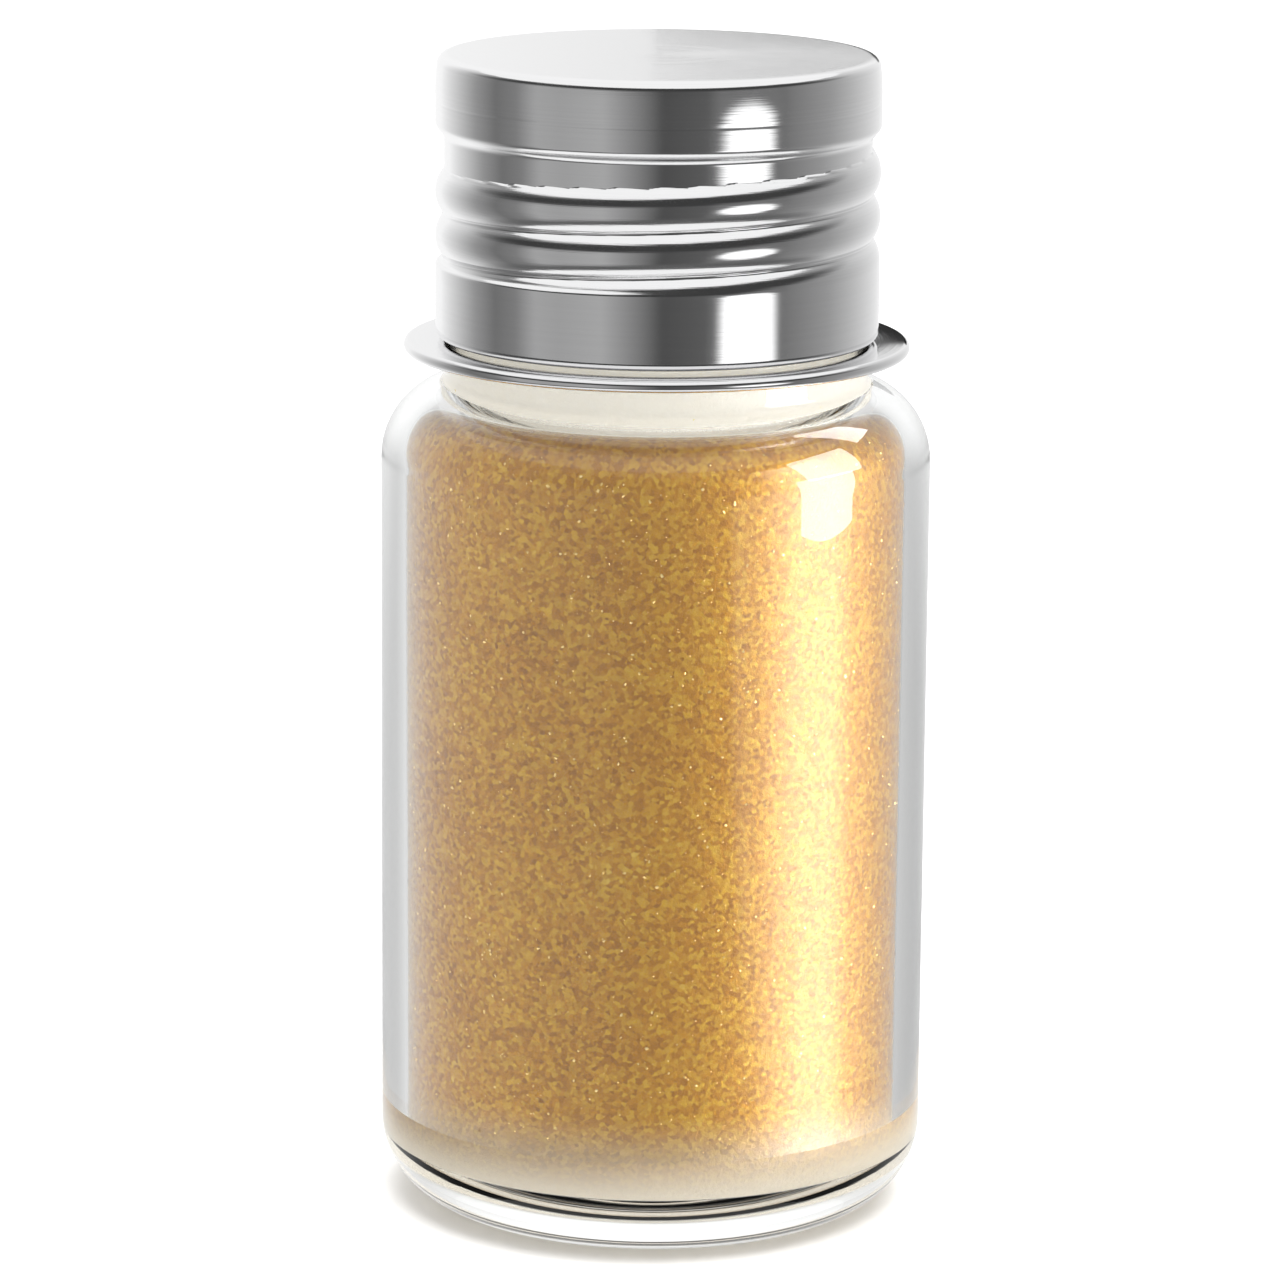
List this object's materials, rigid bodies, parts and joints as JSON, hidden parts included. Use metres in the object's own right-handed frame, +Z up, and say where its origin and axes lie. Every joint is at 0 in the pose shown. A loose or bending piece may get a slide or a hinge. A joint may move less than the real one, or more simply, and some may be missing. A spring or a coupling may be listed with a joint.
{
  "type": "sample vial",
  "caption": "Small clear glass vial with a round shoulder, a threaded aluminium screw cap over a thin neck collar, and a fill of fine gold dust.",
  "frame": {"origin": "centre of the base, on the surface that the vial stands on", "axes": "+Z up along the vial's axis through the cap; +X to the right of the front view; -Y towards the viewer"},
  "size_m": [0.022, 0.022, 0.0468],
  "materials": {
    "glass": "clear polished",
    "cap_metal": "bright polished",
    "collar_metal": "bright polished",
    "liner_foam": "matt foam",
    "liner_film": "gloss film",
    "gold_dust": "fine metallic grain",
    "gold_flake": "bright beaten flake"
  },
  "bodies": {
    "vial": {"glass_vial": "glass", "gold_dust": "gold_dust", "gold_flakes": "gold_flake"},
    "collar": {"neck_collar": "collar_metal"},
    "liner": {"liner_pad": "liner_foam", "liner_facing": "liner_film"},
    "cap": {"screw_cap": "cap_metal"}
  },
  "joints": [
    {"name": "cap_lift", "type": "slide", "parent": "vial", "child": "liner", "axis": [0, 0, 1], "range_m": [0, 0.00292]},
    {"name": "cap_turn", "type": "hinge", "parent": "liner", "child": "cap", "pos_m": [0, 0, 0.041], "axis": [0, 0, 1], "range_deg": [0, 600]},
    {"name": "collar_spin", "type": "hinge", "parent": "vial", "child": "collar", "pos_m": [0, 0, 0.03515], "axis": [0, 0, 1], "continuous": true}
  ],
  "couplings": [
    {"joint": "cap_turn", "follows": "cap_lift", "rad_per_m": 3590.4}
  ]
}
